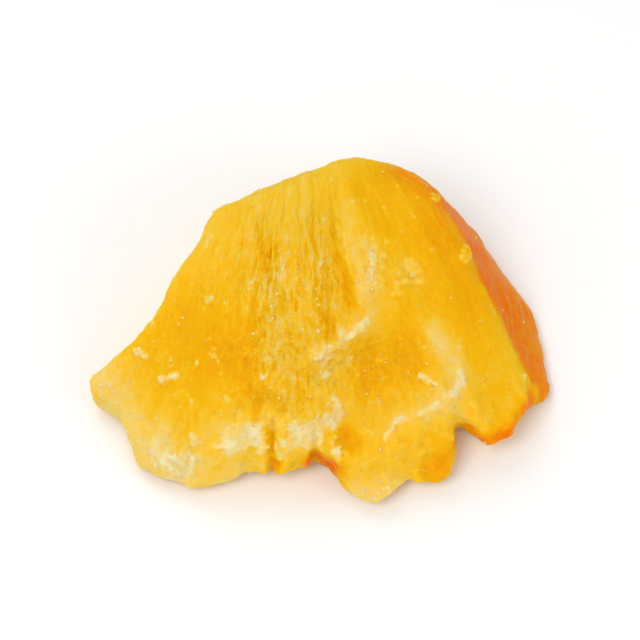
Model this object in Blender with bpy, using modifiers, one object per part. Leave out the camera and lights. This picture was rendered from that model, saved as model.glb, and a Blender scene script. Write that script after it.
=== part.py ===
"""One piece of dried, candied pineapple.

The piece is a wedge of a round slice of peeled fruit. Its narrow end was next to the core, its two
straight sides are knife cuts, and its wide end is the ragged outside of the fruit. The flesh has
shrunk round its fibres, which fan out from the core. It lies flat, with +X across the wedge, +Y from
the wide end to the core and +Z up, and its origin is under the middle of its box.
"""

import math

import bmesh
import bpy
import numpy as np
from mathutils import Vector, noise

MM = 0.001
PIECE_NAME = "pineapple_piece"

# Driving dimensions of the wedge, in metres, measured from a point near the middle of its underside.
# The fibres and the rim are centred on the fruit's axis. Angles are in degrees about that axis, from
# -Y towards +X. The rim falls short of its full radius over some degrees next to each corner, and the
# left cut bows into the piece by its hollow.
FRUIT_AXIS = Vector((0.0, 22.0 * MM))
RIM_RADIUS = 37.4 * MM
THICKNESS = 11.5 * MM
CORE_LEFT = Vector((-6.2 * MM, 5.8 * MM))
CORE_PEAK = Vector((4.8 * MM, 10.8 * MM))
CORE_RIGHT = Vector((12.0 * MM, 7.6 * MM))
LEFT_RIM_ANGLE = -31.9
LEFT_SHORTFALL = 3.4 * MM
LEFT_SHORT_DEGREES = 14.0
RIGHT_RIM_ANGLE = 31.5
RIGHT_SHORTFALL = 0.8 * MM
RIGHT_SHORT_DEGREES = 12.0
LEFT_HOLLOW = 1.6 * MM
EDGE_ROUNDING = 1.6 * MM
CORNER_SOFTENING = 10

# How far the foot of each straight side stands out past its top edge, at its start, middle and end,
# and how far into the piece that lean is felt. It fades out along the side past the side's two ends.
RIGHT_LEAN = (4.4 * MM, 6.4 * MM, 3.8 * MM)
CORE_LEAN = (3.0 * MM, 1.5 * MM, 0.6 * MM)
LEFT_LEAN = (0.4 * MM, -0.6 * MM, -1.6 * MM)
LEAN_REACH = 9.0 * MM
LEAN_FADE_IN = (-0.25, 0.1)
LEAN_FADE_OUT = (1.25, 0.9)

# How much lower the upper face lies at the rim, at the left corner and at the core end, and the
# distance from the fruit's axis, or from the middle, between which it falls away.
RIM_DROP = 7.4 * MM
RIM_DROP_RADII = (20.4 * MM, 40.4 * MM)
LEFT_DROP = 2.4 * MM
LEFT_DROP_REACH = (4.0 * MM, 19.0 * MM)
CORE_DROP = 0.8 * MM
CORE_DROP_RADII = (20.0 * MM, 11.0 * MM)

# The ragged rim. Each lobe or notch has its angle and half width in degrees, how far it stands out,
# and the height and half height of the part of the rim that it moves. The flesh behind the rim
# follows it less and less.
RIM_LOBES = (
    (-14.0, 8.0, 2.2 * MM, 4.5 * MM, 7.0 * MM),
    (-1.5, 3.0, 0.8 * MM, 6.0 * MM, 4.5 * MM),
    (4.4, 1.8, -1.8 * MM, 3.0 * MM, 6.5 * MM),
    (10.6, 4.8, 3.4 * MM, 2.0 * MM, 6.0 * MM),
    (18.6, 3.4, 2.6 * MM, 3.0 * MM, 7.0 * MM),
    (23.6, 1.5, -2.1 * MM, 3.0 * MM, 8.0 * MM),
    (28.2, 3.8, 2.2 * MM, 7.5 * MM, 5.0 * MM),
    (26.5, 5.0, -1.6 * MM, 0.5 * MM, 3.0 * MM),
)
LOBE_DEPTHS = (12.0 * MM, 0.5 * MM)

# Hollows and swellings of the upper face: place, half length along the fibres, half width, height.
FACE_FORMS = (
    ((6.2 * MM, -9.6 * MM), 3.6 * MM, 4.0 * MM, -2.0 * MM),
    ((-9.5 * MM, -6.5 * MM), 5.5 * MM, 4.2 * MM, -1.0 * MM),
    ((-5.4 * MM, -15.0 * MM), 2.0 * MM, 2.4 * MM, 1.3 * MM),
    ((0.1 * MM, -14.6 * MM), 2.2 * MM, 2.6 * MM, 1.7 * MM),
    ((0.2 * MM, -1.5 * MM), 6.5 * MM, 2.2 * MM, 0.5 * MM),
    ((-3.9 * MM, -1.0 * MM), 3.8 * MM, 0.8 * MM, -0.7 * MM),
    ((3.3 * MM, -2.0 * MM), 4.4 * MM, 0.8 * MM, -1.0 * MM),
    ((4.9 * MM, -2.6 * MM), 4.4 * MM, 0.9 * MM, 0.5 * MM),
    ((7.6 * MM, -2.4 * MM), 3.0 * MM, 2.0 * MM, 0.4 * MM),
    ((12.6 * MM, -10.4 * MM), 3.4 * MM, 1.6 * MM, 1.2 * MM),
    ((9.2 * MM, -14.0 * MM), 1.4 * MM, 2.8 * MM, 1.1 * MM),
)

# The fibre ridges of the upper face, which start some way out from the core.
RIDGE_DEGREES = 5.2
RIDGE_LENGTH = 14.0 * MM
RIDGE_HEIGHT = 0.4 * MM
RIDGE_RADII = (14.0 * MM, 28.0 * MM)

# The lumps all round, which fade out towards the underside, and the dents that lift the underside
# at its two ends.
LUMP_SIZE = 3.4 * MM
LUMP_HEIGHT = 0.3 * MM
BROAD_LUMP_SIZE = 7.8 * MM
BROAD_LUMP_HEIGHT = 0.4 * MM
LUMP_FADE = (0.05, 0.25)
DENT_SIZE = 6.0 * MM
DENT_HEIGHT = 1.2 * MM
RESTING_RADIUS = 25.0 * MM
RESTING_REACH = (7.0 * MM, 15.0 * MM)
RESTING_BAND = 0.08 * MM

# Where each kind of relief reads its noise.
RIDGE_SEED = 3.7
DENT_SEED = 8.2
BROAD_SEED = 11.0

# The working mesh and the finished one.
VOXEL = 0.42 * MM
TRIANGLES = 8400


def hump(offset):
    """1 in the middle and near 0 from about two half widths away, where offset is 1 at a half width."""
    return np.exp(-(offset**2))


def ramp(value, low, high):
    """0 at low, 1 at high and a smooth change between, whichever of the two is larger."""
    share = np.clip((value - low) / (high - low), 0.0, 1.0)
    return share * share * (3.0 - 2.0 * share)


def about_axis(points):
    """The angle in degrees and the radius of points about the fruit's axis."""
    across = points[:, 0] - FRUIT_AXIS.x
    outward = FRUIT_AXIS.y - points[:, 1]
    return np.degrees(np.arctan2(across, outward)), np.hypot(across, outward)


def rim_point(angle):
    """A point of the rim as cut, without its lobes."""
    radius = RIM_RADIUS
    radius -= LEFT_SHORTFALL * ramp(angle, LEFT_RIM_ANGLE + LEFT_SHORT_DEGREES, LEFT_RIM_ANGLE)
    radius -= RIGHT_SHORTFALL * ramp(angle, RIGHT_RIM_ANGLE - RIGHT_SHORT_DEGREES, RIGHT_RIM_ANGLE)
    turn = math.radians(angle)
    return FRUIT_AXIS + Vector((math.sin(turn), -math.cos(turn))) * float(radius)


def core_point(share):
    """A point of the core end, a curve from its right corner over its peak to its left corner."""
    pull = 2.0 * CORE_PEAK - (CORE_RIGHT + CORE_LEFT) / 2
    return CORE_RIGHT * (1.0 - share) ** 2 + pull * 2.0 * share * (1.0 - share) + CORE_LEFT * share**2


def left_cut_point(share):
    """A point of the left cut, from the core end to the rim."""
    rim_left = rim_point(LEFT_RIM_ANGLE)
    side = rim_left - CORE_LEFT
    inward = Vector((-side.y, side.x)).normalized()
    return CORE_LEFT.lerp(rim_left, share) + inward * LEFT_HOLLOW * math.sin(math.pi * share)


def wedge_outline():
    """The wedge seen from above: its rim, then across to the core end, and back along the left cut."""
    rim = [rim_point(angle) for angle in np.linspace(LEFT_RIM_ANGLE, RIGHT_RIM_ANGLE, 41)]
    core = [core_point(float(share)) for share in np.linspace(0.0, 1.0, 13)]
    return rim + core + [left_cut_point(step / 6) for step in range(1, 6)]


def points_of(mesh):
    flat = np.empty(3 * len(mesh.vertices))
    mesh.vertices.foreach_get("co", flat)
    return flat.reshape(-1, 3)


def normals_of(mesh):
    flat = np.empty(3 * len(mesh.vertices))
    mesh.vertices.foreach_get("normal", flat)
    return flat.reshape(-1, 3)


def set_points(mesh, points):
    mesh.vertices.foreach_set("co", points.ravel())
    mesh.update()


def noise_at(samples):
    """Smooth noise between about -1 and 1 at rows of three coordinates."""
    return np.array([noise.noise(Vector(row)) for row in samples])


def evaluated_mesh(source):
    """The mesh of an object with its modifiers applied, in world space."""
    bpy.context.view_layer.update()
    graph = bpy.context.evaluated_depsgraph_get()
    mesh = bpy.data.meshes.new_from_object(source.evaluated_get(graph))
    mesh.transform(source.matrix_world)
    return mesh


def helper_object(name, data):
    helper = bpy.data.objects.new(name, data)
    bpy.context.scene.collection.objects.link(helper)
    return helper


def weld(mesh):
    shell = bmesh.new()
    shell.from_mesh(mesh)
    bmesh.ops.remove_doubles(shell, verts=shell.verts, dist=0.001 * MM)
    bmesh.ops.recalc_face_normals(shell, faces=shell.faces)
    shell.to_mesh(mesh)
    shell.free()


def extruded_outline():
    """The wedge's outline as a closed slab with rounded edges, its underside at height 0."""
    curve = bpy.data.curves.new("wedge_outline", "CURVE")
    curve.dimensions = "2D"
    curve.fill_mode = "BOTH"
    curve.bevel_depth = EDGE_ROUNDING
    curve.bevel_resolution = 4
    curve.offset = -EDGE_ROUNDING
    curve.extrude = THICKNESS / 2 - EDGE_ROUNDING
    outline = wedge_outline()
    spline = curve.splines.new("POLY")
    spline.points.add(len(outline) - 1)
    for point, place in zip(spline.points, outline):
        point.co = (place.x, place.y, 0.0, 1.0)
    spline.use_cyclic_u = True
    guide = helper_object("wedge_outline", curve)
    guide.location.z = THICKNESS / 2
    mesh = evaluated_mesh(guide)
    weld(mesh)
    bpy.data.objects.remove(guide)
    return mesh


def slab():
    """The slab cut into small even faces, its corners a little softer."""
    body = helper_object("wedge_slab", extruded_outline())
    remesh = body.modifiers.new("even_faces", "REMESH")
    remesh.mode = "VOXEL"
    remesh.voxel_size = VOXEL
    soften = body.modifiers.new("soft_corners", "SMOOTH")
    soften.iterations = CORNER_SOFTENING
    mesh = evaluated_mesh(body)
    bpy.data.objects.remove(body)
    return mesh


def lean_sides(points):
    """Lets the foot of each straight side stand out past its top edge."""
    rim_left, rim_right = rim_point(LEFT_RIM_ANGLE), rim_point(RIGHT_RIM_ANGLE)
    sides = (
        (rim_right, CORE_RIGHT, RIGHT_LEAN),
        (CORE_RIGHT, CORE_LEFT, CORE_LEAN),
        (CORE_LEFT, rim_left, LEFT_LEAN),
    )
    depth = 1.0 - points[:, 2] / THICKNESS
    moved = points.copy()
    for start, end, leans in sides:
        side = end - start
        outward = Vector((side.y, -side.x)).normalized()
        off_x, off_y = points[:, 0] - start.x, points[:, 1] - start.y
        inside = -(off_x * outward.x + off_y * outward.y)
        along = (off_x * side.x + off_y * side.y) / side.length_squared
        lean = depth * np.interp(along, (0.0, 0.5, 1.0), leans) * ramp(inside, LEAN_REACH, 0.0)
        lean *= ramp(along, *LEAN_FADE_IN) * ramp(along, *LEAN_FADE_OUT)
        moved[:, 0] += lean * outward.x
        moved[:, 1] += lean * outward.y
    return moved


def rag_rim(points):
    """Pushes the lobes of the rim out and its notches in."""
    angle, radius = about_axis(points)
    push = np.zeros(len(points))
    for at, half_width, outward, height, half_height in RIM_LOBES:
        push += outward * hump((angle - at) / half_width) * hump((points[:, 2] - height) / half_height)
    push *= ramp(RIM_RADIUS - radius, *LOBE_DEPTHS)
    turn = np.radians(angle)
    moved = points.copy()
    moved[:, 0] += push * np.sin(turn)
    moved[:, 1] -= push * np.cos(turn)
    return moved


def face_height(points):
    """How far the upper face lies above or below its flat start."""
    angle, radius = about_axis(points)
    turn = np.radians(angle)
    height = np.zeros(len(points))
    for (x, y), half_length, half_width, rise in FACE_FORMS:
        off_x, off_y = points[:, 0] - x, points[:, 1] - y
        along = off_x * np.sin(turn) - off_y * np.cos(turn)
        across = off_x * np.cos(turn) + off_y * np.sin(turn)
        height += rise * hump(np.hypot(along / half_length, across / half_width))
    seed = np.full(len(points), RIDGE_SEED)
    ridge = noise_at(np.column_stack([angle / RIDGE_DEGREES, radius / RIDGE_LENGTH, seed]))
    height += RIDGE_HEIGHT * ramp(radius, *RIDGE_RADII) * ridge
    height -= RIM_DROP * ramp(radius, *RIM_DROP_RADII)
    height -= LEFT_DROP * ramp(-points[:, 0], *LEFT_DROP_REACH)
    height -= CORE_DROP * ramp(radius, *CORE_DROP_RADII)
    return height


def underside_height(points):
    """The underside is flat where it rests and pulls up in shallow dents at its two ends."""
    _, radius = about_axis(points)
    edge = ramp(np.abs(radius - RESTING_RADIUS), *RESTING_REACH)
    seed = np.full(len(points), DENT_SEED)
    dents = noise_at(np.column_stack([points[:, :2] / DENT_SIZE, seed]))
    return DENT_HEIGHT * edge * np.clip(0.5 + dents, 0.0, None)


def lump_height(points):
    fine = noise_at(points / LUMP_SIZE)
    broad = noise_at(points / BROAD_LUMP_SIZE + BROAD_SEED)
    return LUMP_HEIGHT * fine + BROAD_LUMP_HEIGHT * broad


def shape_piece(mesh):
    """Moves the slab's points into the piece's form and centres it on the origin."""
    points = points_of(mesh)
    share = np.clip(points[:, 2] / THICKNESS, 0.0, 1.0)
    points = rag_rim(lean_sides(points))
    points[:, 2] += share * face_height(points) + (1.0 - share) * underside_height(points)
    set_points(mesh, points)
    lumps = lump_height(points) * ramp(share, *LUMP_FADE)
    points = points + normals_of(mesh) * lumps[:, None]
    centre = (points.min(axis=0) + points.max(axis=0)) / 2
    points[:, :2] -= centre[:2]
    set_points(mesh, points)


def fewer_faces(mesh):
    """The mesh with far fewer triangles, most of them where it bends, and a truly flat resting patch."""
    source = helper_object("fine_piece", mesh)
    decimate = source.modifiers.new("fewer_faces", "DECIMATE")
    decimate.ratio = TRIANGLES / (2 * len(mesh.polygons))
    coarse = evaluated_mesh(source)
    bpy.data.objects.remove(source)
    points = points_of(coarse)
    points[points[:, 2] < RESTING_BAND, 2] = 0.0
    set_points(coarse, points)
    return coarse


def flesh_material():
    material = bpy.data.materials.new("candied_flesh")
    material.use_nodes = True
    shader = material.node_tree.nodes["Principled BSDF"]
    shader.inputs["Base Color"].default_value = (0.90, 0.48, 0.04, 1.0)
    shader.inputs["Roughness"].default_value = 0.42
    shader.inputs["Metallic"].default_value = 0.0
    shader.inputs["Subsurface Weight"].default_value = 0.4
    return material


def clear_scene():
    for found in list(bpy.data.objects):
        bpy.data.objects.remove(found)


def main():
    clear_scene()
    fine = slab()
    shape_piece(fine)
    mesh = fewer_faces(fine)
    mesh.name = PIECE_NAME
    mesh.materials.append(flesh_material())
    mesh.shade_smooth()
    piece = bpy.data.objects.new(PIECE_NAME, mesh)
    collection = bpy.data.collections.new("dried_pineapple")
    bpy.context.scene.collection.children.link(collection)
    collection.objects.link(piece)


main()
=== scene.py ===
"""The looks of one piece of dried, candied pineapple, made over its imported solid.

The solid's surface is cut into small even faces, which then get the fruit's relief: fibres that fan
out from the core, sugar granules between them, pale crusts, pits and a torn rim. Crystals, flakes and
crumbs of sugar sit in that surface. Shapes are worked out in millimetres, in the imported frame: +X
across the wedge, +Y from the rim to the core and +Z up.
"""

import math

import bmesh
import bpy
import numpy as np
from mathutils import Matrix, Vector, kdtree, noise

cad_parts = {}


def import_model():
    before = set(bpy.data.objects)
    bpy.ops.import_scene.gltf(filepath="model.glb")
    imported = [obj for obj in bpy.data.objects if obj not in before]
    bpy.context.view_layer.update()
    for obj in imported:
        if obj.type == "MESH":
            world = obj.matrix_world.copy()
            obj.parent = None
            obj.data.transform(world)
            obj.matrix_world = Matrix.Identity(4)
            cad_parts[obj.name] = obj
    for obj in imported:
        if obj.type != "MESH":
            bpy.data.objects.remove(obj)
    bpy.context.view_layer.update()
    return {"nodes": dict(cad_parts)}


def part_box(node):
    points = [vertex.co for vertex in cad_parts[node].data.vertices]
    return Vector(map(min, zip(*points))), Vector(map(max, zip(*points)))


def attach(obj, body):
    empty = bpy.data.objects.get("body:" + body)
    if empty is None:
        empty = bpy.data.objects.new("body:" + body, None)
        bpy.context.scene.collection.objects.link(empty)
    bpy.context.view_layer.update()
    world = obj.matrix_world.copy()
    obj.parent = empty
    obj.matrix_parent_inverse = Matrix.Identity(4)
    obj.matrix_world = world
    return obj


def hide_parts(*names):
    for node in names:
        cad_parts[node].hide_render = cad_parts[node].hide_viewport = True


MM = 0.001
BODY = "root"
SOLID = "pineapple_piece"

SEED = 7

# The fibres fan out from the fruit's axis. Across them, a place is its angle times this radius, and
# they sway by noise of this height and size.
FRUIT_AXIS = np.array([-2.45, 24.84])
ARC_RADIUS = 28.0
SWAY_HEIGHT = 0.35
SWAY_SIZE = 5.0

# The two working meshes: face size and smoothing rounds.
COARSE_FACES = 0.30
COARSE_ROUNDS = 12
FINE_FACES = 0.176
FINE_ROUNDS = 3

# The top edge of the slanting cut side, from the rim to the core end.
CUT_EDGE = ((18.0, -5.2), (17.1, -4.0), (13.4, 2.5), (11.2, 6.9), (10.1, 9.4))

# Where each part of the surface begins and where it is full. The underside, face, folds, core end and
# cut side go by how far the surface faces down, up, up, along +Y and along +X. The cut side also goes
# by its distance past its top edge, which a wave moves, and by its place along +Y. The rim goes by its
# distance from the fruit's axis.
UNDER_NORMALS = (0.3, 0.7)
FACE_NORMALS = (0.15, 0.6)
FOLD_NORMALS = (0.0, 0.5)
CORE_NORMALS = (0.2, 0.6)
CUT_NORMALS = (0.0, 0.45)
CUT_EDGE_WIDTH = (-0.2, 0.9)
CUT_EDGE_WAVE = 0.5
CUT_START = (-7.5, -5.0)
RIM_RADII = (34.5, 38.0)

# Bites out of the rim: the angle at the fruit's axis, the half width in degrees and the depth. The
# last one, where the depth is negative, adds to the rim. They fade in between two distances from the
# axis.
BITES = (
    (-23.5, 3.2, 0.8),
    (-14.5, 1.8, 0.5),
    (-5.5, 2.0, 0.8),
    (-2.5, 0.7, 1.0),
    (0.6, 2.0, 1.0),
    (3.1, 0.6, 0.7),
    (14.5, 0.8, 0.4),
    (22.2, 0.9, 0.5),
    (25.2, 1.7, -1.3),
)
BITE_RADII = (31.0, 36.5)

# Ridges, grooves, hollows and pits of the upper face: a line or a place, its half width and its height.
FOLDS = (
    (((2.2, 10.4), (2.9, 4.2), (3.6, -1.6)), 0.7, 0.42),
    (((0.9, 7.0), (1.6, 3.4), (2.3, -1.4)), 0.6, -0.42),
    (((-4.6, 7.0), (-4.3, 2.0), (-3.5, -2.6)), 0.6, -0.28),
    (((-2.8, 6.4), (-2.4, 1.0), (-1.8, -3.4)), 0.7, 0.22),
    (((5.0, 8.0), (6.2, 4.4), (8.2, 0.4)), 0.6, -0.20),
    (((-0.6, -4.9), (1.0, -3.7), (2.9, -2.7), (4.6, -2.0)), 0.5, 0.42),
    (((0.1, -6.0), (2.0, -5.0), (4.0, -4.4)), 0.7, -0.50),
    (((4.0, -5.0), (6.8, -4.4), (8.8, -4.4)), 1.5, -0.40),
    (((9.9, -2.9), (11.3, -4.9), (12.0, -7.0), (11.2, -8.2)), 0.8, 0.40),
    (((11.0, -8.2), (9.0, -8.8), (6.6, -9.5)), 0.7, 0.35),
    (((9.1, -9.8), (9.1, -12.1), (9.0, -14.0)), 0.35, -0.35),
    (((-6.0, -7.2), (-1.4, -7.6), (2.2, -7.8)), 0.9, 0.22),
    (((-6.4, -0.6), (-6.0, -5.6)), 0.7, 0.20),
    (((-4.2, -11.2), (-3.8, -12.4), (-3.5, -13.4)), 0.40, -0.40),
    (((-4.8, -2.2),), 0.6, -0.30),
    (((-7.5, -4.9),), 0.7, -0.20),
    (((-4.6, -8.6),), 0.7, -0.40),
    (((-7.1, -9.0),), 0.8, -0.35),
    (((-2.8, -9.2),), 0.55, -0.40),
    (((0.4, -13.0),), 0.6, -0.35),
    (((2.2, -11.6),), 0.8, -0.35),
)

# The sugar crusts: a line or a place and its half width. Noise tears their edges along the fibres and
# crumbles them, each with its size and weight.
CRUSTS = (
    (((-7.1, -11.9), (-6.4, -11.1), (-5.6, -11.2)), 1.25),
    (((-2.8, -12.3), (-1.6, -11.8), (-0.8, -11.7)), 1.20),
    (((-0.7, -11.2), (0.7, -10.0), (1.6, -8.4)), 0.70),
    (((0.0, -4.8), (0.8, -4.2)), 0.36),
    (((2.6, -3.2), (4.0, -2.3)), 0.34),
    (((12.0, -5.6), (11.5, -7.2), (10.8, -8.0)), 0.38),
    (((9.7, -8.7), (8.4, -9.1)), 0.36),
    (((7.0, -9.5), (6.0, -9.7)), 0.36),
    (((-13.0, -11.8), (-11.0, -12.8)), 0.7),
    (((1.3, -12.2),), 0.7),
    (((4.3, 2.6), (4.2, 0.6)), 0.5),
)
CRUST_HEIGHT = 0.13
CRUST_LUMPS = ((1.0, 1.0, 1.0), 0.7)
CRUST_STREAKS = ((0.5, 1.5, 0.5), 0.5)
CRUST_TEARS = ((0.7, 1.8, 0.7), 0.60)
CRUST_CRUMBS = (0.36, 0.40)
CRUST_EDGE = (0.30, 0.75)

# Zones of colour: a line or a place, its half width, its tone and how fully it takes that tone. A
# tone runs from 0, deep orange, through 0.5, golden, to 1, milky with sugar. Most zones are the flesh's
# own colours, but some paint light and shade onto the folds: a pale band along a ridge as painted
# light, and deeper orange in grooves, pits and the hollow as painted shade.
PLAIN_TONE = 0.56
ZONES = (
    (((-11.4, 1.0), (-7.8, 5.5), (-3.8, 9.0), (0.1, 11.0)), 2.8, 0.62, 0.85),
    (((-5.9, 2.0), (-2.4, 3.0), (-2.8, -6.5)), 2.2, 0.60, 0.7),
    (((-9.0, -3.0), (-11.8, -1.5)), 3.8, 0.42, 0.9),
    (((-9.4, -4.8), (-6.8, -4.4), (-5.2, -7.0)), 2.0, 0.33, 0.8),
    (((-11.9, -8.4), (-9.9, -9.0)), 1.6, 0.52, 0.8),
    (((4.3, 9.6), (5.9, 6.0), (9.6, 0.1), (12.4, -2.1)), 2.8, 0.43, 0.85),
    (((7.2, 11.6), (9.6, 9.6), (10.7, 5.0)), 2.4, 0.20, 0.9),
    (((9.2, 12.0), (10.2, 10.0)), 1.6, 0.10, 0.9),
    (((11.2, 3.6), (13.2, 0.2)), 1.7, 0.34, 0.8),
    (((-18.4, -4.4), (-17.0, -7.4), (-14.4, -10.8)), 2.1, 0.80, 0.95),
    (((-13.8, -11.4), (-11.0, -13.0)), 1.3, 0.86, 0.95),
    (((-10.4, -13.4), (-5.0, -13.5)), 0.9, 0.74, 0.9),
    # painted light: a pale band along the ridge
    (((2.3, 8.0), (2.9, 4.2), (3.5, -1.0)), 0.7, 0.70, 0.9),
    (((4.3, 3.4), (4.2, 0.2)), 1.1, 0.74, 0.85),
    (((7.5, 1.8),), 1.4, 0.70, 0.7),
    # painted shade: deeper orange in the groove beside that ridge
    (((1.0, 5.5), (1.8, 2.8), (2.4, -0.8)), 0.5, 0.36, 0.85),
    # painted shade in a groove
    (((-4.1, 3.4), (-4.0, 1.5), (-3.5, -1.8)), 0.5, 0.38, 0.8),
    (((0.7, -2.2),), 0.8, 0.36, 0.8),
    # painted shade in the hollow
    (((4.0, -5.0), (6.8, -4.2), (8.8, -4.0)), 1.9, 0.38, 0.9),
    (((-0.4, -4.7), (2.9, -2.6), (4.6, -1.8)), 0.7, 0.74, 0.9),
    (((9.9, -2.9), (11.3, -4.9), (12.0, -7.0), (11.3, -8.1), (9.0, -8.8), (6.2, -9.7)), 1.15, 0.80, 0.9),
    (((-8.8, -10.6), (-6.3, -10.9), (-0.4, -10.9), (1.8, -8.2)), 1.1, 0.72, 0.8),
    # painted shade in a groove
    (((-4.2, -11.2), (-3.9, -12.4), (-3.5, -13.4)), 0.5, 0.22, 0.9),
    # painted shade in a pit
    (((1.8, -10.6), (2.8, -11.4)), 0.8, 0.26, 0.9),
    (((6.8, -12.0),), 2.2, 0.58, 0.8),
    (((3.0, -14.6), (5.0, -14.9), (7.0, -14.2)), 1.2, 0.80, 0.9),
    (((10.5, -11.4), (9.6, -13.0)), 0.8, 0.42, 0.8),
    (((14.2, -7.0),), 2.2, 0.50, 0.9),
)

# The same for the foot of the rim, which lies lower than these heights: deep orange along its lower
# edge and in a notch, painted shade.
FOOT_HEIGHTS = (4.4, 3.2)
FOOT_SHADE_ZONES = (
    (((-0.8, -12.3), (0.4, -11.4), (1.4, -12.2)), 0.9, 0.0, 1.0),
    (((11.5, -9.8), (13.4, -10.4), (15.5, -9.8), (17.0, -8.3), (17.7, -6.4)), 1.3, 0.05, 1.0),
    (((10.9, -10.8), (10.0, -12.6)), 0.9, 0.26, 0.9),
)

# What is drawn by place drifts by noise of this height and size, along +X, and at an offset along +Y.
ZONE_DRIFT = 0.45
ZONE_DRIFT_SIZE = 1.9
ZONE_DRIFT_OFFSET = 5.0

# The cut side's tones, from its top to its foot: the deep orange of its clear flesh, deepened with
# painted shade. The core end's tones, from left to right.
CUT_FLESH_AND_SHADE_TONES = (0.0, 0.12)
CUT_TONE_HEIGHTS = (8.0, 0.5)
CORE_TONES = (0.58, 0.14)
CORE_TONE_PLACES = (1.0, 9.5)
CORE_TONE_WAVE = 2.0
UNDER_TONE = 0.42

# The tone also follows the relief, up to this height, as painted light and shade: paler on crests and
# deeper orange in creases. It also takes a bloom in layers of a size and a weight.
CREST_LIGHT_AND_SHADE_TONE = 0.16
CREST_RANGE = 0.22
CREST_GRANULES = 0.8
CREST_LINES = 0.7
CREST_CELLS = 0.1
BLOOM_TONE = 0.10
BLOOM_LAYERS = (((1.8, 4.5, 1.8), 1.0), ((0.7, 1.8, 0.7), 0.6))
RELIEF_TONE_SHARES = (0.4, 1.0)
RELIEF_TONE_LOSS_ON_CUT = 0.7

# The crusts' middle tone and how much it varies, and how fully crusts and grown sugar take their tone.
CRUST_TONES = (0.92, 0.16)
CRUST_STRENGTH = 0.92
SUGAR_STRENGTH = 0.85

# Flesh with many fibres, and granular flesh: a line or a place and its half width. The share of fibres
# runs between two values, and the underside and cut sides have one of their own.
FIBROUS_SHARES = (0.35, 1.0)
FIBROUS_SIDES = 0.5
LEAST_GRAINY = 0.3
FIBROUS = (
    (((-4.2, 3.0), (-3.2, -7.0)), 2.8),
    (((-0.2, 6.0), (0.6, -2.0)), 2.0),
)
GRANULAR = (
    (((4.4, 3.2), (4.3, 0.2)), 0.9),
    (((7.2, 1.8),), 1.8),
    (((-3.0, 1.0), (-4.0, -6.0)), 2.0),
    (((0.0, -6.6), (2.6, -5.0), (7.6, -5.0)), 1.7),
    (((-7.4, -10.0), (-0.4, -9.6)), 1.3),
)

# Fibre bundles: width, length and thickness, and height, which is below 0 for thin threads. Each row
# takes its noise at an offset, and its ridge is the noise's size times a slope, less a base.
FIBRE_OFFSET = 7.3
FIBRE_SLOPE = 2.6
FIBRE_BASE = 0.7
FACE_FIBRES = (
    (2.3, 11.0, 5.0, 0.16),
    (1.05, 6.5, 2.4, -0.11),
    (0.55, 3.4, 1.2, -0.10),
)
CUT_FIBRES = (
    (3.2, 9.0, 1.4, 0.09),
    (1.2, 6.0, 0.6, 0.035),
)
CORE_CELLS = (0.9, 0.9, 1.6)
CORE_CELL_HEIGHT = 0.14
SIDE_WAVE_SIZE = 3.4
SIDE_WAVE_HEIGHT = 0.22
GRANULE_SIZE = (0.46, 0.62, 0.46)
GRANULE_HEIGHT = 0.16
CELL_SLOPE = 1.5
WRINKLE_SIZE = 1.6
WRINKLE_HEIGHT = 0.19
WRINKLE_LAYERS = ((1.0, 1.0), (2.1, 0.5), (4.4, 0.25))
TEAR_SIZE = (0.55, 2.0, 0.8)
TEAR_HEIGHT = 0.22

# How strong fibres, granules and wrinkles are on each part. On the face, fibres go by how far it faces
# up. Crusts hide part of the fibres, and grown sugar smooths most of the relief.
FIBRE_NORMALS = (0.3, 0.8)
FIBRES_UNDER = 0.45
FIBRES_ON_RIM = 0.5
FIBRES_LOST_IN_CRUST = 0.4
GRANULES_UNDER = 0.3
WRINKLES_ON_FACE = 0.7
WRINKLES_UNDER = 0.5
WRINKLES_ON_RIM = 0.7
WRINKLES_ON_CUT = 0.5
RELIEF_LOST_IN_SUGAR = 0.8

# Frost, the share of fine crystals in the material: its base, what granular flesh, the core end and a
# pale tone add, its limits, and what the cut side and the crusts take away.
FROST_BASE = 0.05
FROST_IN_GRAINS = 0.22
FROST_ON_CORE = 0.12
FROST_IN_PALE = 0.25
FROST_LIMITS = (0.03, 0.26)
FROST_LOST_ON_CUT = 0.7
FROST_LOST_IN_CRUST = 0.6

# Sugar that has grown onto the flesh: pebbly crystals, and clumps with their place, half sizes
# along three axes, turn about the surface's normal in degrees, number of crystals and tone.
PEBBLES = (
    (((4.4, 3.4), (4.3, 0.2)), 0.8, 50),
    (((7.5, 2.2), (7.0, 1.2)), 1.0, 22),
    (((-0.4, -5.6), (2.0, -4.4)), 0.7, 9),
)
PEBBLE_SIZES = (0.32, 0.52)
PEBBLE_TONE = 0.74
CLUMPS = (
    ((12.2, 4.1), (0.70, 0.45, 0.15), 60.0, 34, 0.78),
    ((9.8, 9.0), (0.35, 0.3, 0.1), 20.0, 10, 0.80),
    ((-15.2, -2.9), (0.18, 0.55, 0.03), 10.0, 12, 1.0),
    ((-12.8, -5.2), (0.75, 0.15, 0.03), -35.0, 16, 0.98),
    ((-9.3, 0.2), (0.3, 0.2, 0.03), 0.0, 6, 0.95),
    ((6.2, -10.1), (1.15, 0.10, 0.05), 66.0, 24, 1.0),
    ((9.1, -6.5), (0.8, 0.08, 0.03), -67.0, 14, 0.98),
    ((-0.1, -4.8), (0.5, 0.10, 0.03), 75.0, 10, 1.0),
    ((0.4, -5.6), (0.25, 0.12, 0.03), 75.0, 6, 1.0),
    ((3.5, -2.6), (0.5, 0.10, 0.03), 35.0, 6, 0.90),
    ((17.4, -4.2), (0.3, 0.2, 0.05), 30.0, 6, 0.85),
    ((-10.5, -10.9), (0.4, 0.2, 0.03), 50.0, 8, 0.95),
)
CLUMP_CRYSTAL = 0.34
CLUMP_VARIETY = (0.75, 1.25)
CLUMP_SPREAD = 0.7
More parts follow.
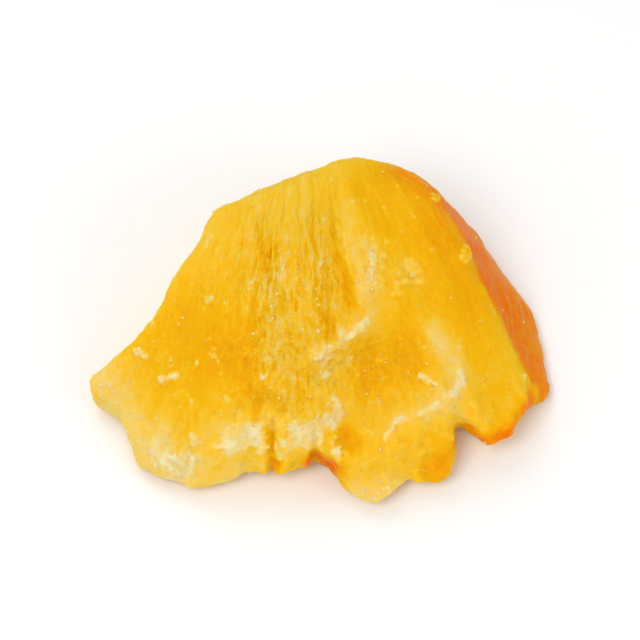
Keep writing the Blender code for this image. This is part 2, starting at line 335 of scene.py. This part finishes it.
CLUMP_LIFT = 0.1
PEBBLES_SUNK = 0.45
GROWN_NORMAL = 0.2
CRYSTAL_EDGES = 0.16
CRYSTAL_STRETCH = (0.7, 1.2)

# The flesh takes a grown crystal's tone up to this many of its sizes from its middle.
SUGAR_EDGE = (0.45, 0.8)

# Loose sugar: small crystals with sharp edges, counted over the whole piece. They lie in patches, with
# a few between, and where the surface doesn't face down. None lies nearer to the sides of the solid's
# box than the margin, so that each one has room to stand out.
LOOSE_CRYSTALS = 190
LOOSE_PATCHES = 1.6
LOOSE_SIZES = (0.11, 0.26)
LOOSE_MARGIN = 0.30
LOOSE_PATCH_EDGE = (0.0, 0.35)
LOOSE_BETWEEN = 0.1
LOOSE_ON_CRUST = 0.15
LOOSE_SUNK = 0.4
LOOSE_NORMAL = -0.2

# Surface colours by tone, and the sugar's two colours.
TONE_COLOURS = (
    (0.00, (0.87, 0.160, 0.0002)),
    (0.15, (0.85, 0.260, 0.0004)),
    (0.30, (0.83, 0.385, 0.001)),
    (0.50, (0.87, 0.485, 0.003)),
    (0.65, (0.88, 0.555, 0.036)),
    (0.80, (0.85, 0.600, 0.140)),
    (0.90, (0.80, 0.645, 0.270)),
    (1.00, (0.82, 0.730, 0.440)),
)
SYRUP_COLOUR = (0.90, 0.58, 0.10)
SUGAR_COLOUR = (0.91, 0.72, 0.32)

# Streaks and pale dashes in the flesh's material: how they stretch along the fibres, each one's scale
# and detail, and the noise's range with the tone that it adds. The streaks are the fibres' own colour.
# The pale dashes are partly fibres and partly painted glints.
STREAK_STRETCH = (1.0, 0.3, 1.0)
STREAKS = (2.4, 4.0)
DASHES = (5.5, 2.0)
STREAK_TONES = (0.35, 0.65, -0.13, 0.13)
DASH_AND_GLINT_TONES = (0.5, 0.68, 0.0, 0.14)
NOISE_ROUGHNESS = 0.6

# Frost in the material: its cells' scale, how a grain falls off from its middle, its tone and height.
GRAIN_SCALE = 3.6
GRAIN_DOME = (0.28, 0.55, 1.0, 0.0)
GRAIN_TONE = 0.20
GRAIN_HEIGHT = 0.4

# The flesh's gloss, depth of colour and fine bump. Its roughness goes by its tone.
FLESH_ROUGHNESS = (0.1, 1.0, 0.34, 0.60)
FLESH_BUMP = 0.22
FLESH_IOR = 1.45
FLESH_SPECULAR = 0.05
LIGHT_REACH = (0.85, 0.40, 0.10)
LIGHT_REACH_SCALE = 1.2

# The sugar's mix of its two colours, its bump and its gloss.
SYRUP_NOISE = (900.0, 3.0)
SYRUP_EDGES = (0.35, 0.60)
SUGAR_BUMP_STRENGTH = 0.3
SUGAR_BUMP = 0.05
SUGAR_ROUGHNESS = 0.30

# The floor, the even light all round, and the lamps: name, azimuth, elevation, size and power. These
# are in metres and watts.
FLOOR_SIZE = 1.2
FLOOR_COLOUR = (0.95, 0.95, 0.945, 1.0)
FLOOR_ROUGHNESS = 0.7
WORLD_STRENGTH = 0.57
WHITE = (1.0, 1.0, 1.0, 1.0)
LAMP_DISTANCE = 0.40
LAMPS = (
    ("key", -35.0, 58.0, 0.20, 0.62),
    ("fill", 60.0, 30.0, 0.25, 0.28),
    ("back", -150.0, 50.0, 0.25, 0.32),
)

# The camera looks along +Y and down. What it clips is in metres.
CAMERA_ELEVATION = 58.0
CAMERA_LENS = 280.0
CAMERA_CLIP = (0.01, 10.0)
SHARE_OF_FRAME = 0.73


def hump(offset):
    """1 in the middle and near 0 from about two half widths away, where offset is 1 at a half width."""
    return np.exp(-(offset**2))


def ramp(value, low, high):
    """0 at low, 1 at high and a smooth change between, whichever of the two is larger."""
    share = np.clip((value - low) / (high - low), 0.0, 1.0)
    return share * share * (3.0 - 2.0 * share)


def between(values, share):
    """The first of two values where the share is 0, and the second where it is 1."""
    return values[0] + (values[1] - values[0]) * share


def noise_at(samples):
    """Smooth noise between about -1 and 1 at rows of three coordinates."""
    return np.array([noise.noise(Vector(row)) for row in samples])


def cells_at(samples):
    """The distance to the nearest of scattered cell centres at rows of three coordinates."""
    return np.array([noise.voronoi(Vector(row))[0][0] for row in samples])


def layered(samples, layers):
    """Noise in layers, each with its size and its weight."""
    return sum(weight * noise_at(samples / size) for size, weight in layers)


def nearness(places, line, half_width):
    """1 on a line through a few places, or on a single place, and falling off to its sides."""
    nearest = np.full(len(places), np.inf)
    for start, end in zip(line, line[1:] or line):
        start, side = np.array(start), np.array(end) - np.array(start)
        length = max(side @ side, 1e-9)
        along = np.clip(((places - start) @ side) / length, 0.0, 1.0)
        gap = places - start - along[:, None] * side
        nearest = np.minimum(nearest, np.hypot(gap[:, 0], gap[:, 1]))
    return hump(nearest / half_width)


def nearest_of(places, lines):
    """The largest nearness to any of several lines."""
    return np.max([nearness(places, line, half_width) for line, half_width in lines], axis=0)


def points_of(mesh):
    """The mesh's points in millimetres."""
    flat = np.empty(3 * len(mesh.vertices))
    mesh.vertices.foreach_get("co", flat)
    return flat.reshape(-1, 3) / MM


def normals_of(mesh):
    flat = np.empty(3 * len(mesh.vertices))
    mesh.vertices.foreach_get("normal", flat)
    return flat.reshape(-1, 3)


def set_points(mesh, points):
    mesh.vertices.foreach_set("co", (points * MM).ravel())
    mesh.update()


def set_attribute(mesh, name, values):
    """Stores one number, or three, for each point of the mesh."""
    kind, field = ("FLOAT", "value") if values.ndim == 1 else ("FLOAT_VECTOR", "vector")
    attribute = mesh.attributes.new(name, kind, "POINT")
    attribute.data.foreach_set(field, values.astype(np.float32).ravel())


def fibre_places(points):
    """Points measured across the fibres, along them and up, with the fibres swaying a little."""
    across, outward = points[:, 0] - FRUIT_AXIS[0], FRUIT_AXIS[1] - points[:, 1]
    sway = SWAY_HEIGHT * noise_at(points / SWAY_SIZE)
    arc = np.arctan2(across, outward) * ARC_RADIUS + sway
    return np.column_stack([arc, np.hypot(across, outward), points[:, 2]])


def bundles(places, fibres):
    """Round ridges along the fibres with sharp creases between, or thin threads for a height below 0."""
    height = np.zeros(len(places))
    for number, (width, length, thickness, rise) in enumerate(fibres):
        value = noise_at(places / (width, length, thickness) + FIBRE_OFFSET * number)
        height += rise * (FIBRE_SLOPE * np.abs(value) - FIBRE_BASE)
    return height


def past_cut_edge(points):
    """How far each point lies past the top edge of the slanting cut side."""
    edge = np.array(CUT_EDGE)
    return points[:, 0] - np.interp(points[:, 1], edge[:, 1], edge[:, 0])


def drifted(points):
    """The points' places in the plane, shifted by noise so that nothing drawn there has a clean edge."""
    samples = points / ZONE_DRIFT_SIZE
    drift = np.column_stack([noise_at(samples), noise_at(samples + ZONE_DRIFT_OFFSET)])
    return points[:, :2] + ZONE_DRIFT * drift


def even_mesh(mesh, face_size, rounds):
    """The same surface in small even faces, a little smoother."""
    helper = bpy.data.objects.new("even_faces", mesh)
    bpy.context.scene.collection.objects.link(helper)
    remesh = helper.modifiers.new("even_faces", "REMESH")
    remesh.mode = "VOXEL"
    remesh.voxel_size = face_size * MM
    soften = helper.modifiers.new("soften", "SMOOTH")
    soften.iterations = rounds
    bpy.context.view_layer.update()
    graph = bpy.context.evaluated_depsgraph_get()
    made = bpy.data.meshes.new_from_object(helper.evaluated_get(graph))
    bpy.data.objects.remove(helper)
    return made


def fold_surface(mesh):
    """Gives the upper face its folds and pits, up to half a millimetre high, and the rim its bites."""
    points, normals = points_of(mesh), normals_of(mesh)
    flat = drifted(points)
    height = sum(rise * nearness(flat, line, half_width) for line, half_width, rise in FOLDS)
    height = height * ramp(normals[:, 2], *FOLD_NORMALS)
    across, outward = points[:, 0] - FRUIT_AXIS[0], FRUIT_AXIS[1] - points[:, 1]
    angle, radius = np.degrees(np.arctan2(across, outward)), np.hypot(across, outward)
    bite = sum(depth * hump((angle - place) / half_width) for place, half_width, depth in BITES)
    inward = np.column_stack([-across, outward, np.zeros(len(points))]) / radius[:, None]
    bite = bite * ramp(radius, *BITE_RADII)
    set_points(mesh, points + normals * height[:, None] + inward * bite[:, None])


def crust_share(points, places):
    """1 on the sugar crusts, which break up along the fibres and have a ragged edge."""
    torn = layered(places, [CRUST_TEARS]) + layered(points, [CRUST_CRUMBS])
    return ramp(nearest_of(points[:, :2], CRUSTS) + torn, *CRUST_EDGE)


def zone_tones(flat, height):
    """The tone of the upper face and of the rim's foot, before their relief, with painted light on a
    ridge and painted shade in grooves, pits, the hollow and along the rim's foot.
    """
    tone = np.full(len(flat), PLAIN_TONE)
    for line, half_width, target, strength in ZONES:
        tone += strength * nearness(flat, line, half_width) * (target - tone)
    foot = ramp(height, *FOOT_HEIGHTS)
    for line, half_width, target, strength in FOOT_SHADE_ZONES:
        tone += foot * strength * nearness(flat, line, half_width) * (target - tone)
    return tone


def surface_shares(points, normals, places, wave):
    """How far each point belongs to the underside, slanting side, face, rim, core end and cut sides."""
    under = ramp(-normals[:, 2], *UNDER_NORMALS)
    slant = ramp(past_cut_edge(points) + CUT_EDGE_WAVE * wave, *CUT_EDGE_WIDTH)
    slant *= ramp(normals[:, 0], *CUT_NORMALS)
    slant *= (1.0 - under) * ramp(points[:, 1], *CUT_START)
    face = ramp(normals[:, 2], *FACE_NORMALS) * (1.0 - slant)
    rim = ramp(places[:, 1], *RIM_RADII) * (1.0 - under) * (1.0 - slant)
    core = ramp(normals[:, 1], *CORE_NORMALS) * (1.0 - face) * (1.0 - under) * (1.0 - slant)
    cut = np.maximum(slant, (1.0 - face) * (1.0 - under) * (1.0 - rim))
    return under, slant, face, rim, core, cut


def frost_share(tone, grainy, core, slant, crust):
    """The share of fine crystals that the material shows at each point."""
    frost = FROST_BASE + FROST_IN_GRAINS * grainy + FROST_ON_CORE * core
    frost = np.clip(frost + FROST_IN_PALE * (tone - PLAIN_TONE), *FROST_LIMITS)
    frost *= (1.0 - FROST_LOST_ON_CUT * slant) * (1.0 - FROST_LOST_IN_CRUST * crust)
    return frost


def rough_surface(mesh, grown, low, high):
    """Gives the mesh its fine relief, inside the solid's box, and stores what its material reads.

    It gives back how thickly loose sugar lies at each point.
    """
    points, normals = points_of(mesh), normals_of(mesh)
    flat, places = drifted(points), fibre_places(points)
    sugar, sugar_tone = sugar_near(points, grown)
    wave = noise_at(points / SIDE_WAVE_SIZE)
    under, slant, face, rim, core, cut = surface_shares(points, normals, places, wave)
    fibre_share = np.maximum(nearest_of(flat, FIBROUS) * face, FIBROUS_SIDES * (under + cut))
    fibrous = between(FIBROUS_SHARES, fibre_share)
    grainy = nearest_of(flat, GRANULAR) * face
    crust = crust_share(points, places) * face

    fibres = bundles(places, FACE_FIBRES) * fibrous * (1.0 - FIBRES_LOST_IN_CRUST * crust)
    lines = bundles(places, CUT_FIBRES)
    granules = (1.0 - CELL_SLOPE * cells_at(places / GRANULE_SIZE)) * np.maximum(grainy, LEAST_GRAINY)
    cells = 1.0 - CELL_SLOPE * cells_at(places / CORE_CELLS)
    wrinkles = sum(share * noise_at(points / WRINKLE_SIZE * finer) for finer, share in WRINKLE_LAYERS)
    wrinkled = WRINKLES_ON_FACE * face + WRINKLES_UNDER * under + WRINKLES_ON_RIM * rim
    wrinkled = wrinkled + WRINKLES_ON_CUT * cut
    lumps = layered(places, (CRUST_LUMPS, CRUST_STREAKS))
    face_fibres = face * ramp(normals[:, 2], *FIBRE_NORMALS)
    height = fibres * (face_fibres + FIBRES_UNDER * under + FIBRES_ON_RIM * rim)
    height += lines * (cut - core) + CORE_CELL_HEIGHT * cells * core
    height += GRANULE_HEIGHT * granules * (face + GRANULES_UNDER * under)
    height += WRINKLE_HEIGHT * wrinkles * wrinkled
    height += SIDE_WAVE_HEIGHT * wave * cut
    height += TEAR_HEIGHT * noise_at(places / TEAR_SIZE) * rim
    height += CRUST_HEIGHT * crust * (1.0 + lumps)
    height *= 1.0 - RELIEF_LOST_IN_SUGAR * sugar
    set_points(mesh, np.clip(points + normals * height[:, None], low, high))

    # Painted light and shade: the tone is paler on crests of the relief and deeper in its creases.
    crest_shading = (fibres + CREST_GRANULES * GRANULE_HEIGHT * granules) * (1.0 - cut)
    crest_shading = crest_shading + CREST_LINES * lines * cut + CREST_CELLS * cells * core
    crest_shading = np.clip(crest_shading / CREST_RANGE, -1.0, 1.0)
    bloom = layered(places, BLOOM_LAYERS) + wave * cut
    mottle = CRUST_TONES[0] + CRUST_TONES[1] * lumps
    # Painted shade: the cut side takes a deep orange tone, deeper than its clear flesh alone.
    slant_flesh_and_shade_tone = between(CUT_FLESH_AND_SHADE_TONES, ramp(points[:, 2], *CUT_TONE_HEIGHTS))
    core_tone = between(CORE_TONES, ramp(points[:, 0] + CORE_TONE_WAVE * wave, *CORE_TONE_PLACES))
    # Besides the flesh's own colours, the zones paint light on a ridge and shade in grooves, pits, the
    # hollow and along the rim's foot.
    tone = zone_tones(flat, points[:, 2])
    tone += (slant_flesh_and_shade_tone - tone) * slant + (UNDER_TONE - tone) * under + (core_tone - tone) * core
    shading_and_bloom_tone = (CREST_LIGHT_AND_SHADE_TONE * crest_shading + BLOOM_TONE * bloom) * between(RELIEF_TONE_SHARES, fibrous)
    tone += shading_and_bloom_tone * (1.0 - RELIEF_TONE_LOSS_ON_CUT * slant)
    tone += (mottle - tone) * CRUST_STRENGTH * crust
    tone += (sugar_tone - tone) * SUGAR_STRENGTH * sugar
    frost = frost_share(tone, grainy, core, slant, crust)
    set_attribute(mesh, "fibre_place", places)
    set_attribute(mesh, "tone", tone)
    set_attribute(mesh, "fibrous", fibrous)
    set_attribute(mesh, "frost", frost)
    patches = LOOSE_BETWEEN + ramp(noise_at(points / LOOSE_PATCHES), *LOOSE_PATCH_EDGE)
    return (frost + LOOSE_ON_CRUST * crust) * patches


def crystal_shape():
    """The points and triangles of a cube one across, with cut-off edges."""
    shell = bmesh.new()
    bmesh.ops.create_cube(shell, size=1.0)
    bmesh.ops.bevel(shell, geom=shell.edges, offset=CRYSTAL_EDGES, segments=1, affect="EDGES")
    bmesh.ops.triangulate(shell, faces=shell.faces)
    points = np.array([vert.co for vert in shell.verts])
    faces = np.array([[vert.index for vert in face.verts] for face in shell.faces])
    shell.free()
    return points, faces


def crystal_mesh(name, crystals, chance):
    """A closed cube for each crystal, a row of its place and size, turned and stretched by chance."""
    shape, faces = crystal_shape()
    made = []
    for x, y, z, size in crystals:
        turn = np.linalg.qr(chance.normal(size=(3, 3)))[0]
        turn[:, 0] *= np.sign(np.linalg.det(turn))
        made.append((shape * size * chance.uniform(*CRYSTAL_STRETCH, 3)) @ turn + (x, y, z))
    points = np.concatenate(made)
    starts = len(shape) * np.arange(len(crystals))
    mesh = bpy.data.meshes.new(name)
    mesh.from_pydata((points * MM).tolist(), [], (faces + starts[:, None, None]).reshape(-1, 3).tolist())
    return mesh


def scattered(points, normals, density, count, sizes, sunk, chance):
    """Crystals on the surface, mostly where it is dense, and sunk by a share of their size."""
    chosen = chance.choice(len(points), count, replace=False, p=density / density.sum())
    size = between(sizes, chance.random(count) ** 2)
    places = points[chosen] + normals[chosen] * ((0.5 - sunk) * size)[:, None]
    return np.column_stack([places, size])


def clumped(points, normals, place, half_sizes, turn, count, chance):
    """Crystals heaped up in one flake or crumb."""
    nearest = np.argmin(np.hypot(*(points[:, :2] - place).T))
    tilt = Vector(normals[nearest]).to_track_quat("Z", "X").to_matrix()
    turned = np.array(tilt @ Matrix.Rotation(math.radians(turn), 3, "Z"))
    spread = np.clip(chance.normal(size=(count, 3)) * CLUMP_SPREAD, -1.0, 1.0) * half_sizes
    size = CLUMP_CRYSTAL * chance.uniform(*CLUMP_VARIETY, count)
    return np.column_stack([spread @ turned.T + points[nearest] + normals[nearest] * CLUMP_LIFT, size])


def grown_crystals(mesh, chance):
    """The crystals that melt into the upper face: rows of their place, size and tone."""
    points, normals = points_of(mesh), normals_of(mesh)
    upper = normals[:, 2] > GROWN_NORMAL
    points, normals = points[upper], normals[upper]
    rows = []
    for line, half_width, count in PEBBLES:
        density = nearness(points[:, :2], line, half_width)
        found = scattered(points, normals, density, count, PEBBLE_SIZES, PEBBLES_SUNK, chance)
        rows.append(np.column_stack([found, np.full(count, PEBBLE_TONE)]))
    for place, half_sizes, turn, count, tone in CLUMPS:
        found = clumped(points, normals, place, half_sizes, turn, count, chance)
        rows.append(np.column_stack([found, np.full(count, tone)]))
    return np.concatenate(rows)


def sugar_near(points, crystals):
    """For each point, 1 on a grown crystal and 0 a little beside it, and the nearest one's tone."""
    tree = kdtree.KDTree(len(crystals))
    for number, row in enumerate(crystals):
        tree.insert(row[:3], number)
    tree.balance()
    found = [tree.find(point) for point in points]
    nearest = crystals[[number for _, number, _ in found]]
    gaps = np.array([gap for _, _, gap in found]) / nearest[:, 3]
    return 1.0 - ramp(gaps, *SUGAR_EDGE), nearest[:, 4]


def joined(meshes):
    """One mesh of several."""
    shell = bmesh.new()
    for mesh in meshes:
        shell.from_mesh(mesh)
    made = bpy.data.meshes.new("joined")
    shell.to_mesh(made)
    shell.free()
    return made


def add_node(tree, kind, inputs=(), **settings):
    """A node with its settings, and with values or links in its inputs."""
    node = tree.nodes.new(kind)
    for name, value in settings.items():
        setattr(node, name, value)
    for name, value in dict(inputs).items():
        if isinstance(value, bpy.types.NodeSocket):
            tree.links.new(value, node.inputs[name])
        else:
            node.inputs[name].default_value = value
    return node


def attribute(tree, name, output="Fac"):
    return add_node(tree, "ShaderNodeAttribute", attribute_name=name).outputs[output]


def mapped(tree, value, low, high, to_low=0.0, to_high=1.0):
    """A value moved smoothly from one range to another."""
    inputs = {"Value": value, "From Min": low, "From Max": high, "To Min": to_low, "To Max": to_high}
    return add_node(tree, "ShaderNodeMapRange", inputs, interpolation_type="SMOOTHSTEP").outputs["Result"]


def arithmetic(tree, operation, first, second):
    return add_node(tree, "ShaderNodeMath", {0: first, 1: second}, operation=operation).outputs[0]


def noise_node(tree, place, scale, detail):
    inputs = {"Vector": place, "Scale": scale, "Detail": detail, "Roughness": NOISE_ROUGHNESS}
    return add_node(tree, "ShaderNodeTexNoise", inputs).outputs["Fac"]


def colour_ramp(tree, value, stops):
    node = add_node(tree, "ShaderNodeValToRGB", {"Fac": value})
    elements = node.color_ramp.elements
    while len(elements) < len(stops):
        elements.new(1.0)
    for element, (position, colour) in zip(elements, stops):
        element.position = position
        element.color = (*colour, 1.0)
    return node.outputs["Color"]


def flesh_material():
    """Clear amber flesh with paler fibres, whose pale dashes also paint small glints, and with fine
    sugar crystals where it is frosted.
    """
    material = bpy.data.materials.new("candied_flesh")
    material.use_nodes = True
    tree = material.node_tree
    shader = tree.nodes["Principled BSDF"]
    place = attribute(tree, "fibre_place", "Vector")
    fibrous = attribute(tree, "fibrous")

    stretched = add_node(tree, "ShaderNodeVectorMath", {0: place, 1: STREAK_STRETCH}, operation="MULTIPLY")
    streaks = noise_node(tree, stretched.outputs[0], *STREAKS)
    dashes = noise_node(tree, stretched.outputs[0], *DASHES)
    streak_tone = mapped(tree, streaks, *STREAK_TONES)
    # The pale dashes are partly the fibres' colour and partly painted glints.
    dash_and_glint_tone = mapped(tree, dashes, *DASH_AND_GLINT_TONES)
    line_tone = arithmetic(tree, "MULTIPLY", arithmetic(tree, "ADD", streak_tone, dash_and_glint_tone), fibrous)

    cells = add_node(tree, "ShaderNodeTexVoronoi", {"Vector": place, "Scale": GRAIN_SCALE})
    pick = add_node(tree, "ShaderNodeSeparateColor", {"Color": cells.outputs["Color"]}).outputs["Red"]
    picked = arithmetic(tree, "LESS_THAN", pick, attribute(tree, "frost"))
    dome = mapped(tree, cells.outputs["Distance"], *GRAIN_DOME)
    grains = arithmetic(tree, "MULTIPLY", dome, picked)

    tone = arithmetic(tree, "ADD", attribute(tree, "tone"), line_tone)
    tone = arithmetic(tree, "ADD", tone, arithmetic(tree, "MULTIPLY", grains, GRAIN_TONE))
    tree.links.new(colour_ramp(tree, tone, TONE_COLOURS), shader.inputs["Base Color"])
    tree.links.new(mapped(tree, tone, *FLESH_ROUGHNESS), shader.inputs["Roughness"])

    lines = arithmetic(tree, "MULTIPLY", arithmetic(tree, "ADD", streaks, dashes), fibrous)
    height = arithmetic(tree, "ADD", lines, arithmetic(tree, "MULTIPLY", grains, GRAIN_HEIGHT))
    bump = add_node(tree, "ShaderNodeBump", {"Height": height, "Strength": 1.0, "Distance": FLESH_BUMP * MM})
    tree.links.new(bump.outputs["Normal"], shader.inputs["Normal"])
    shader.inputs["Subsurface Weight"].default_value = 1.0
    shader.inputs["Subsurface Radius"].default_value = LIGHT_REACH
    shader.inputs["Subsurface Scale"].default_value = LIGHT_REACH_SCALE * MM
    shader.inputs["IOR"].default_value = FLESH_IOR
    shader.inputs["Specular IOR Level"].default_value = FLESH_SPECULAR
    return material


def sugar_material():
    """Pale crystals with a little of the fruit's syrup on them."""
    material = bpy.data.materials.new("sugar")
    material.use_nodes = True
    tree = material.node_tree
    shader = tree.nodes["Principled BSDF"]
    where = add_node(tree, "ShaderNodeTexCoord").outputs["Object"]
    syrup = noise_node(tree, where, *SYRUP_NOISE)
    stops = tuple(zip(SYRUP_EDGES, (SYRUP_COLOUR, SUGAR_COLOUR)))
    tree.links.new(colour_ramp(tree, syrup, stops), shader.inputs["Base Color"])
    inputs = {"Height": syrup, "Strength": SUGAR_BUMP_STRENGTH, "Distance": SUGAR_BUMP * MM}
    bump = add_node(tree, "ShaderNodeBump", inputs)
    tree.links.new(bump.outputs["Normal"], shader.inputs["Normal"])
    shader.inputs["Roughness"].default_value = SUGAR_ROUGHNESS
    return material


def add_piece(name, mesh, material, smooth):
    """A finished piece of the object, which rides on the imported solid's body."""
    mesh.name = name
    mesh.materials.clear()
    mesh.materials.append(material)
    if smooth:
        mesh.shade_smooth()
    else:
        mesh.shade_flat()
    piece = bpy.data.objects.new(name, mesh)
    bpy.context.scene.collection.objects.link(piece)
    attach(piece, BODY)
    return piece


def add_pieces(solid, low, high):
    """The flesh, which stands for the solid, and the loose sugar on it."""
    chance = np.random.default_rng(SEED)
    folded = even_mesh(solid.data.copy(), COARSE_FACES, COARSE_ROUNDS)
    fold_surface(folded)
    grown = grown_crystals(folded, chance)
    sugared = joined([folded, crystal_mesh("grown", grown[:, :4], chance)])
    flesh = even_mesh(sugared, FINE_FACES, FINE_ROUNDS)
    density = rough_surface(flesh, grown, low, high)
    points, normals = points_of(flesh), normals_of(flesh)
    inside = np.all((points > low + LOOSE_MARGIN) & (points < high - LOOSE_MARGIN), axis=1)
    density = density * inside * (normals[:, 2] > LOOSE_NORMAL)
    loose = scattered(points, normals, density, LOOSE_CRYSTALS, LOOSE_SIZES, LOOSE_SUNK, chance)
    piece = add_piece("pineapple_flesh", flesh, flesh_material(), True)
    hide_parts(SOLID)
    add_piece("sugar_crystals", crystal_mesh("sugar_crystals", loose, chance), sugar_material(), False)


def add_floor():
    """A plain pale floor, which isn't part of the object."""
    shell = bmesh.new()
    bmesh.ops.create_grid(shell, x_segments=1, y_segments=1, size=FLOOR_SIZE)
    mesh = bpy.data.meshes.new("floor")
    shell.to_mesh(mesh)
    shell.free()
    material = bpy.data.materials.new("floor")
    material.use_nodes = True
    shader = material.node_tree.nodes["Principled BSDF"]
    shader.inputs["Base Color"].default_value = FLOOR_COLOUR
    shader.inputs["Roughness"].default_value = FLOOR_ROUGHNESS
    mesh.materials.append(material)
    floor = bpy.data.objects.new("floor", mesh)
    bpy.context.scene.collection.objects.link(floor)


def add_lamp(name, azimuth, elevation, size, power):
    """A square soft light that faces the piece."""
    light = bpy.data.lights.new(name, "AREA")
    light.size = size
    light.energy = power
    lamp = bpy.data.objects.new(name, light)
    around, up = math.radians(azimuth), math.radians(elevation)
    back = Vector((math.sin(around) * math.cos(up), -math.cos(around) * math.cos(up), math.sin(up)))
    lamp.location = back * LAMP_DISTANCE
    lamp.rotation_euler = back.to_track_quat("Z", "Y").to_euler()
    bpy.context.scene.collection.objects.link(lamp)


def add_lights():
    """Even white light all round, and the lamps."""
    world = bpy.data.worlds.new("studio")
    world.use_nodes = True
    background = world.node_tree.nodes["Background"]
    background.inputs["Color"].default_value = WHITE
    background.inputs["Strength"].default_value = WORLD_STRENGTH
    bpy.context.scene.world = world
    for lamp in LAMPS:
        add_lamp(*lamp)


def add_camera(low, high):
    """A camera at the photograph's angle, with the piece across most of the frame."""
    data = bpy.data.cameras.new("camera")
    data.lens = CAMERA_LENS
    camera = bpy.data.objects.new("camera", data)
    bpy.context.scene.collection.objects.link(camera)
    middle = Vector(tuple((low + high) / 2)) * MM
    elevation = math.radians(CAMERA_ELEVATION)
    back = Vector((0.0, -math.cos(elevation), math.sin(elevation)))
    distance = (high[0] - low[0]) * MM / SHARE_OF_FRAME * CAMERA_LENS / data.sensor_width
    camera.location = middle + back * distance
    camera.rotation_euler = back.to_track_quat("Z", "Y").to_euler()
    data.clip_start, data.clip_end = CAMERA_CLIP
    bpy.context.scene.camera = camera


def main():
    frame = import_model()
    low, high = (np.array(corner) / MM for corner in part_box(SOLID))
    add_pieces(frame["nodes"][SOLID], low, high)
    add_floor()
    add_lights()
    add_camera(low, high)
    bpy.context.scene.view_settings.view_transform = "Standard"


main()
